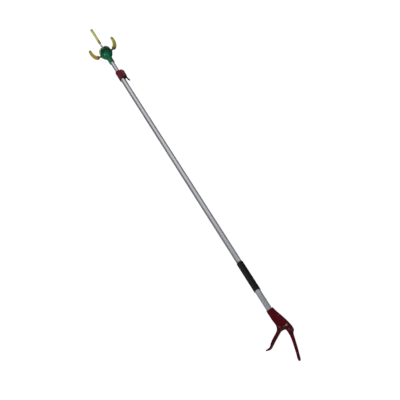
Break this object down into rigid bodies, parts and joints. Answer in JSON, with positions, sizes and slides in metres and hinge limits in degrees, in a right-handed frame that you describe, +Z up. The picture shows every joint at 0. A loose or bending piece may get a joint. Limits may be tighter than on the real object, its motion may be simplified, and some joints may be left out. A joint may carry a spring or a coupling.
{
  "type": "reacher grabber",
  "caption": "Long telescopic reacher grabber: squeeze-trigger handle, foam grip, two-stage aluminium pole with a lever clamp, and a spring claw of rubber-sleeved fingers.",
  "frame": {"origin": "middle of the bounding box, at the level of the ground it lies on", "axes": "+X along the pole from the handle to the claw, +Y to the side of the trigger, +Z up from the ground as it lies on its side"},
  "size_m": [1.7446, 0.1406, 0.1076],
  "materials": {
    "maroon_plastic": "glossy dark maroon moulding",
    "steel": "zinc-plated steel",
    "plated_bolt": "copper-coloured plated bolt",
    "aluminium_tube": "drawn satin aluminium",
    "natural_nylon": "natural white nylon",
    "black_foam": "closed-cell black foam",
    "red_plastic": "semi-gloss dark red moulding",
    "black_plastic": "matt black moulding",
    "green_plastic": "glossy green moulding",
    "olive_soft_plastic": "translucent olive-yellow soft sleeve"
  },
  "bodies": {
    "root": {"handle_shell_upper": "maroon_plastic", "handle_shell_lower": "maroon_plastic", "handle_screw_front": "steel", "handle_screw_middle": "steel", "handle_screw_rear": "steel", "trigger_pivot_bolt": "plated_bolt", "trigger_pivot_nut": "steel", "outer_tube": "aluminium_tube", "tube_end_plug": "natural_nylon", "return_spring": "steel", "foam_grip": "black_foam", "clamp_body": "red_plastic", "clamp_collar": "black_plastic", "clamp_shoe": "black_plastic", "clamp_lever_pin": "steel"},
    "trigger": {"trigger": "maroon_plastic", "clevis_pin": "steel"},
    "pull_tube": {"rod_clevis": "steel", "lower_pull_tube": "aluminium_tube", "rod_collar": "steel", "rod_lock_collet": "natural_nylon"},
    "clamp_lever": {"clamp_lever": "black_plastic"},
    "inner_pole": {"inner_tube": "aluminium_tube", "inner_tube_guide": "natural_nylon", "rod_guide": "natural_nylon", "hub": "green_plastic", "hub_screw": "steel", "claw_spring": "steel", "palm_pad": "olive_soft_plastic", "finger_pin_top": "steel", "finger_pin_left": "steel", "finger_pin_right": "steel"},
    "plunger": {"upper_pull_rod": "steel", "plunger": "natural_nylon", "plunger_nut": "steel"},
    "finger_top": {"finger_arm_top": "steel", "finger_sleeve_top": "olive_soft_plastic"},
    "finger_left": {"finger_arm_left": "steel", "finger_sleeve_left": "olive_soft_plastic"},
    "finger_right": {"finger_arm_right": "steel", "finger_sleeve_right": "olive_soft_plastic"}
  },
  "joints": [
    {"name": "trigger_hinge", "type": "hinge", "parent": "root", "child": "trigger", "pos_m": [-0.74825, -0.03028, 0.01337], "axis": [-0.0153, 0, 0.9999], "range_deg": [0, 19.9]},
    {"name": "rod_slide", "type": "slide", "parent": "root", "child": "pull_tube", "axis": [0.9999, 0, 0.0153], "range_m": [-0.00726, 0], "stiffness_N_per_m": 120, "springref_m": 0.002, "deforming": ["return_spring"]},
    {"name": "clamp_lever_hinge", "type": "hinge", "parent": "root", "child": "clamp_lever", "pos_m": [0.62459, -0.02728, 0.03432], "axis": [-0.0153, 0, 0.9999], "range_deg": [0, 90]},
    {"name": "telescope_slide", "type": "slide", "parent": "root", "child": "inner_pole", "axis": [0.9999, 0, 0.0153], "range_m": [0, 1]},
    {"name": "plunger_slide", "type": "slide", "parent": "inner_pole", "child": "plunger", "axis": [0.9999, 0, 0.0153], "range_m": [-0.0073, 0], "deforming": ["claw_spring"]},
    {"name": "finger_hinge_top", "type": "hinge", "parent": "inner_pole", "child": "finger_top", "pos_m": [0.78026, -0.00928, 0.0567], "axis": [0, 1, 0], "range_deg": [0, 30.1]},
    {"name": "finger_hinge_left", "type": "hinge", "parent": "inner_pole", "child": "finger_left", "pos_m": [0.78072, 0.00804, 0.0267], "axis": [0.0132, -0.5, -0.8659], "range_deg": [0, 30.1]},
    {"name": "finger_hinge_right", "type": "hinge", "parent": "inner_pole", "child": "finger_right", "pos_m": [0.78072, -0.0266, 0.0267], "axis": [-0.0132, -0.5, 0.8659], "range_deg": [0, 30.1]}
  ],
  "couplings": [
    {"joint": "trigger_hinge", "follows": "rod_slide", "rad_per_m": -47.859},
    {"joint": "plunger_slide", "follows": "rod_slide", "ratio": 1},
    {"joint": "finger_hinge_top", "follows": "rod_slide", "rad_per_m": -72.15},
    {"joint": "finger_hinge_left", "follows": "rod_slide", "rad_per_m": -72.15},
    {"joint": "finger_hinge_right", "follows": "rod_slide", "rad_per_m": -72.15}
  ]
}
